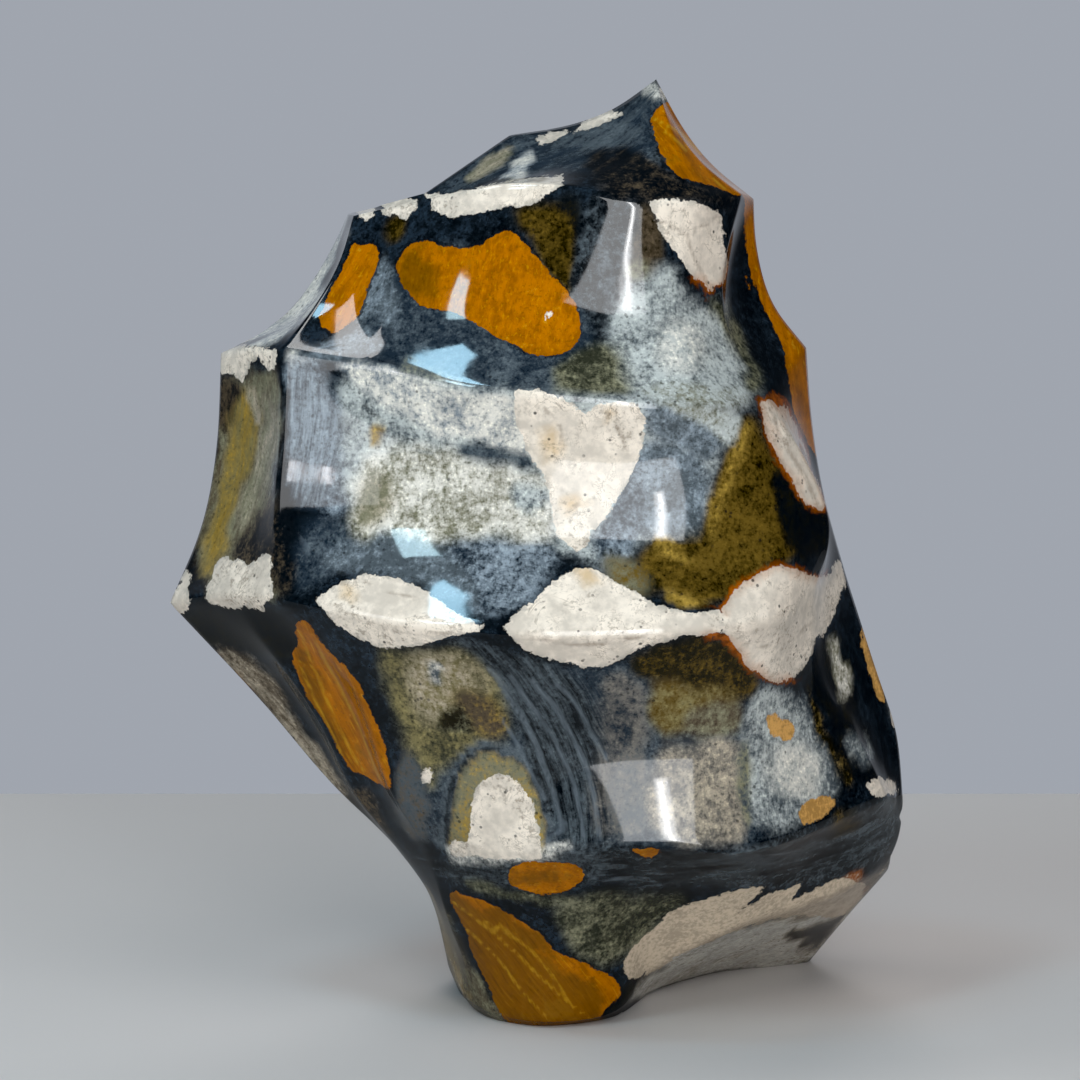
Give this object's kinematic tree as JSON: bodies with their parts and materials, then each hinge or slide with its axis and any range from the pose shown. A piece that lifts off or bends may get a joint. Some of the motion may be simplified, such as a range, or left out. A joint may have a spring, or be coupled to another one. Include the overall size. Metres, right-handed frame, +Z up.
{
  "type": "polished jasper freeform",
  "caption": "Upright polished jasper freeform, ground all round into concave hollows between crisp ridges, rising to a point over a small flat base.",
  "frame": {"origin": "centre of the bounding box at the flat base, on the surface the stone stands on", "axes": "+Z up to the peak, +X to the right as the picture shows the stone, -Y towards the camera"},
  "size_m": [0.141, 0.094, 0.178],
  "materials": {
    "polished_jasper": "high polish"
  },
  "bodies": {
    "root": {"stone": "polished_jasper"}
  },
  "joints": []
}
